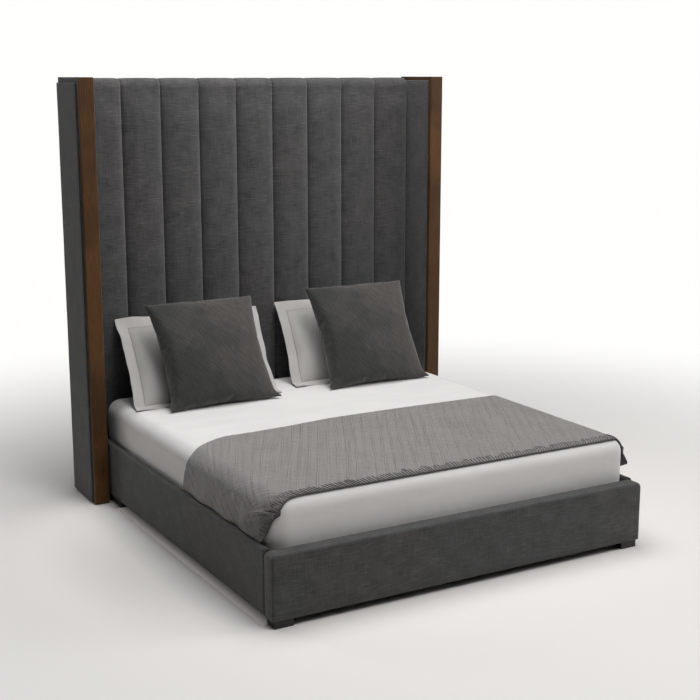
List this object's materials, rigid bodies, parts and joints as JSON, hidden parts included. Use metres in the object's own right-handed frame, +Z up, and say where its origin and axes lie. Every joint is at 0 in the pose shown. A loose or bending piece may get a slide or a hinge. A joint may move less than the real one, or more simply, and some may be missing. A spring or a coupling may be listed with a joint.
{
  "type": "upholstered bed",
  "caption": "Upholstered bed with a tall channelled headboard between wooden-edged wings, low padded rails, slatted base, mattress, throw, shams and cushions.",
  "frame": {"origin": "on the floor, in the middle of the box that the whole bed fills", "axes": "+X to the right seen from the foot, +Y towards the headboard, +Z up"},
  "size_m": [2.215, 2.25, 2.25],
  "materials": {
    "charcoal_linen": "matte woven upholstery",
    "walnut": "satin stained walnut",
    "frame_timber": "planed softwood",
    "plywood": "birch plywood",
    "black_foot": "black stained",
    "black_lining": "thin lining on a board",
    "steel": "zinc plated",
    "glide_plastic": "moulded",
    "mattress_ticking": "quilted ticking",
    "sheet_cotton": "plain cotton",
    "throw_fabric": "quilted, matte",
    "sham_cotton": "plain cotton",
    "cushion_fabric": "patterned weave"
  },
  "bodies": {
    "root": {"beam_brackets": "steel", "bracket_bolts": "steel", "centre_beam": "frame_timber", "centre_leg_1": "frame_timber", "centre_leg_2": "frame_timber", "centre_leg_3": "frame_timber", "channel_pad_1": "charcoal_linen", "channel_pad_2": "charcoal_linen", "channel_pad_3": "charcoal_linen", "channel_pad_4": "charcoal_linen", "channel_pad_5": "charcoal_linen", "channel_pad_6": "charcoal_linen", "channel_pad_7": "charcoal_linen", "channel_pad_8": "charcoal_linen", "channel_pad_9": "charcoal_linen", "corner_brackets": "steel", "foot_screws": "steel", "footboard_core": "frame_timber", "footboard_cover": "charcoal_linen", "headboard_back_panel": "black_lining", "headboard_backing": "plywood", "headboard_bottom_rail": "frame_timber", "headboard_left_post": "frame_timber", "headboard_lower_panel": "charcoal_linen", "headboard_middle_rail": "frame_timber", "headboard_right_post": "frame_timber", "headboard_top_rail": "frame_timber", "left_front_foot": "black_foot", "left_rail_board": "frame_timber", "left_rail_cover": "charcoal_linen", "left_rail_ledger": "frame_timber", "left_wing_core": "charcoal_linen", "left_wing_facing": "walnut", "left_wing_inner_board": "walnut", "left_wing_inner_panel": "charcoal_linen", "left_wing_outer_panel": "charcoal_linen", "rear_feet": "black_foot", "right_front_foot": "black_foot", "right_rail_board": "frame_timber", "right_rail_cover": "charcoal_linen", "right_rail_ledger": "frame_timber", "right_wing_core": "charcoal_linen", "right_wing_facing": "walnut", "right_wing_inner_board": "walnut", "right_wing_inner_panel": "charcoal_linen", "right_wing_outer_panel": "charcoal_linen", "slat_screws": "steel", "slats": "plywood", "wing_bolts": "steel", "wing_glides": "glide_plastic"},
    "mattress": {"mattress": "mattress_ticking", "fitted_sheet": "sheet_cotton"},
    "throw": {"throw": "throw_fabric"},
    "left_sham": {"left_sham": "sham_cotton"},
    "right_sham": {"right_sham": "sham_cotton"},
    "left_cushion": {"left_cushion": "cushion_fabric"},
    "right_cushion": {"right_cushion": "cushion_fabric"},
    "levelling_glide_1": {"levelling_glide_1": "glide_plastic"},
    "levelling_glide_2": {"levelling_glide_2": "glide_plastic"},
    "levelling_glide_3": {"levelling_glide_3": "glide_plastic"}
  },
  "joints": [
    {"name": "mattress_lift", "type": "slide", "parent": "root", "child": "mattress", "axis": [0, 0, 1], "range_m": [0, 0.35]},
    {"name": "throw_lift", "type": "slide", "parent": "mattress", "child": "throw", "axis": [0, 0, 1], "range_m": [0, 0.4]},
    {"name": "left_sham_lift", "type": "slide", "parent": "mattress", "child": "left_sham", "axis": [0, 0, 1], "range_m": [0, 0.5]},
    {"name": "left_cushion_lift", "type": "slide", "parent": "left_sham", "child": "left_cushion", "axis": [0, 0, 1], "range_m": [0, 0.5]},
    {"name": "right_sham_lift", "type": "slide", "parent": "mattress", "child": "right_sham", "axis": [0, 0, 1], "range_m": [0, 0.5]},
    {"name": "right_cushion_lift", "type": "slide", "parent": "right_sham", "child": "right_cushion", "axis": [0, 0, 1], "range_m": [0, 0.5]},
    {"name": "levelling_glide_1_screw", "type": "slide", "parent": "root", "child": "levelling_glide_1", "axis": [0, 0, 1], "range_m": [0, 0.012]},
    {"name": "levelling_glide_2_screw", "type": "slide", "parent": "root", "child": "levelling_glide_2", "axis": [0, 0, 1], "range_m": [0, 0.012]},
    {"name": "levelling_glide_3_screw", "type": "slide", "parent": "root", "child": "levelling_glide_3", "axis": [0, 0, 1], "range_m": [0, 0.012]}
  ]
}
